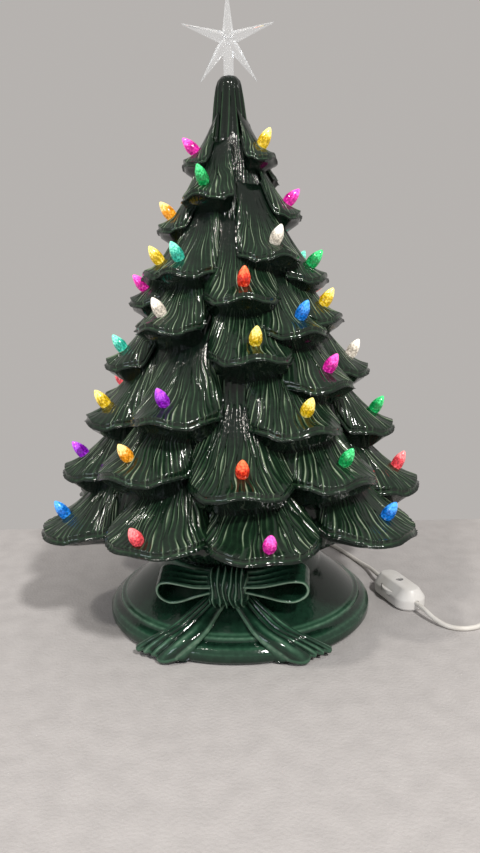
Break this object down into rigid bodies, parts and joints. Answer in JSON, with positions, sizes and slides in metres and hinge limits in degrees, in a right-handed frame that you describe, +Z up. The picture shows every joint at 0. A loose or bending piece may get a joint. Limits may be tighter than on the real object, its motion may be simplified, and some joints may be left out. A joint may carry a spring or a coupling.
{
  "type": "ceramic christmas tree",
  "caption": "Hollow glazed table-top tree of scalloped boughs with plug-in bulbs and a star, lit by a lamp in its bow-fronted base, with a switched lead.",
  "frame": {"origin": "on the table, under the middle of the tree", "axes": "+Z up along the tree's axis, the bow and the front towards -Y"},
  "size_m": [0.4663, 0.3254, 0.5022],
  "materials": {
    "green_glaze": "gloss",
    "star_acrylic": "clear gloss",
    "holder_plastic": "satin",
    "brass": "satin",
    "spring_steel": "satin",
    "cap_metal": "satin",
    "lamp_glass": "clear",
    "filament_wire": "satin",
    "cord_white": "satin",
    "switch_white": "satin gloss",
    "tie_plastic": "satin",
    "plug_white": "satin",
    "bulb_blue": "translucent gloss",
    "bulb_pink": "translucent gloss",
    "bulb_magenta": "translucent gloss",
    "bulb_green": "translucent gloss",
    "bulb_orange": "translucent gloss",
    "bulb_yellow": "translucent gloss",
    "bulb_red": "translucent gloss",
    "bulb_purple": "translucent gloss",
    "bulb_aqua": "translucent gloss",
    "bulb_clear": "translucent gloss"
  },
  "bodies": {
    "base": {"base": "green_glaze", "lamp_holder": "holder_plastic", "screw_sleeve": "brass", "centre_contact": "brass", "spring_clips": "spring_steel", "cord_inside": "cord_white", "cord_lead": "cord_white", "cord_run": "cord_white", "cord_coil": "cord_white", "cord_tail": "cord_white", "coil_tie": "tie_plastic", "switch_bottom": "switch_white", "switch_top": "switch_white", "switch_screw": "spring_steel", "plug_body": "plug_white", "plug_blades": "brass"},
    "tree": {"tree": "green_glaze", "bulbs_blue": "bulb_blue", "bulbs_pink": "bulb_pink", "bulbs_magenta": "bulb_magenta", "bulbs_green": "bulb_green", "bulbs_orange": "bulb_orange", "bulbs_yellow": "bulb_yellow", "bulbs_red": "bulb_red", "bulbs_purple": "bulb_purple", "bulbs_aqua": "bulb_aqua", "bulbs_clear": "bulb_clear"},
    "star": {"star": "star_acrylic"},
    "lamp": {"lamp_cap": "cap_metal", "lamp_glass": "lamp_glass", "lamp_stem": "lamp_glass", "lamp_filament": "filament_wire"},
    "wheel": {"switch_wheel": "switch_white"}
  },
  "joints": [
    {"name": "tree_lift", "type": "slide", "parent": "base", "child": "tree", "axis": [0, 0, 1], "range_m": [0, 0.08]},
    {"name": "star_lift", "type": "slide", "parent": "tree", "child": "star", "axis": [0, 0, 1], "range_m": [0, 0.025]},
    {"name": "lamp_out", "type": "slide", "parent": "base", "child": "lamp", "axis": [0, 0, 1], "range_m": [0, 0.02]},
    {"name": "switch_turn", "type": "hinge", "parent": "base", "child": "wheel", "pos_m": [0.142, -0.002, 0.0103], "axis": [0, 0, 1], "continuous": true}
  ]
}
